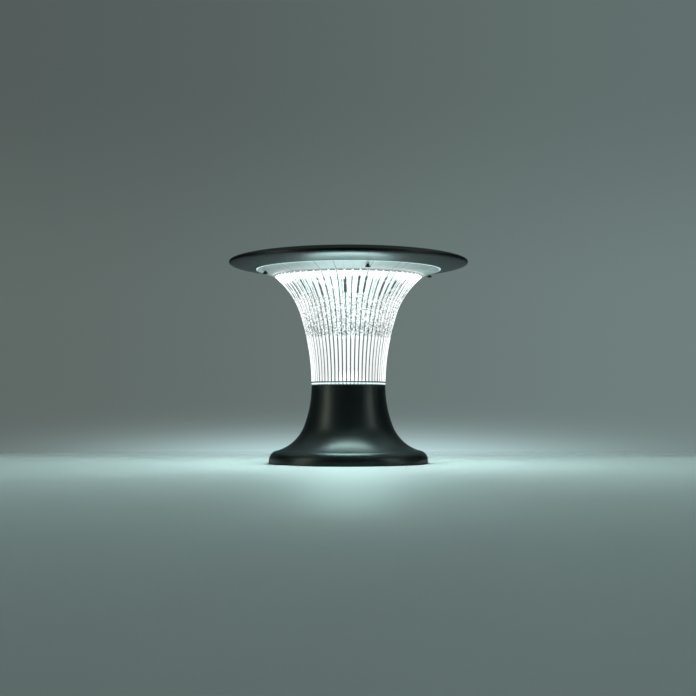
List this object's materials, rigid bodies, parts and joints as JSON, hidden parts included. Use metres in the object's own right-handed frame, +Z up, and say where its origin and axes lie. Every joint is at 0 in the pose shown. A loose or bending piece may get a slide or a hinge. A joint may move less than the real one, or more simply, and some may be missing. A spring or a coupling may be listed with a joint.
{
  "type": "solar wall-top light",
  "caption": "Round solar light for the top of a wall or pillar: flared base, clear fluted trumpet lens and a broad flat cap with a solar panel.",
  "frame": {"origin": "middle of the foot, on the wall top", "axes": "+Z up along the axis of the lamp, -Y towards the front, the push button under the cap towards +Y"},
  "size_m": [0.25, 0.25, 0.2176],
  "materials": {
    "base_paint": "satin",
    "cap_paint": "satin",
    "clear_lens": "gloss",
    "textured_clear": "gloss",
    "rubber": "matte",
    "silicone": "satin",
    "white_plastic": "satin",
    "glass": "gloss",
    "cell": "satin",
    "ribbon": "satin",
    "backboard": "satin",
    "zinc_steel": "satin",
    "lamp_board": "satin",
    "lamp": "satin",
    "battery_wrap": "satin",
    "dark_plastic": "satin",
    "circuit_board": "satin"
  },
  "bodies": {
    "base": {"base_shell": "base_paint", "mounting_plate": "zinc_steel", "plate_screws": "zinc_steel", "foot_gasket": "rubber"},
    "head": {"lens": "clear_lens", "neck_seal": "rubber", "neck_reflector": "white_plastic", "flange_gasket": "silicone", "cap_soffit": "cap_paint", "cap_crown": "cap_paint", "rim_gasket": "rubber", "flange_screws": "zinc_steel", "glass_seal": "rubber", "cover_glass": "glass", "solar_cells": "cell", "cell_ribbons": "ribbon", "panel_back": "backboard", "lamp_pan": "white_plastic", "pan_screws": "zinc_steel", "lamp_board": "lamp_board", "lamps": "lamp", "inner_diffuser": "textured_clear", "diffuser_screws": "zinc_steel", "battery_tray": "dark_plastic", "battery_cells": "battery_wrap", "battery_strap": "zinc_steel", "strap_screws": "zinc_steel", "control_board": "circuit_board", "board_parts": "dark_plastic", "board_screws": "zinc_steel", "switch_body": "dark_plastic"},
    "button": {"push_button": "rubber"}
  },
  "joints": [
    {"name": "head_twist", "type": "hinge", "parent": "base", "child": "head", "pos_m": [0, 0, 0.0815], "axis": [0, 0, 1], "range_deg": [0, 25]},
    {"name": "switch_press", "type": "slide", "parent": "head", "child": "button", "axis": [0, 0, 1], "range_m": [0, 0.0012], "stiffness_N_per_m": 1500, "springref_m": -0.0005}
  ]
}
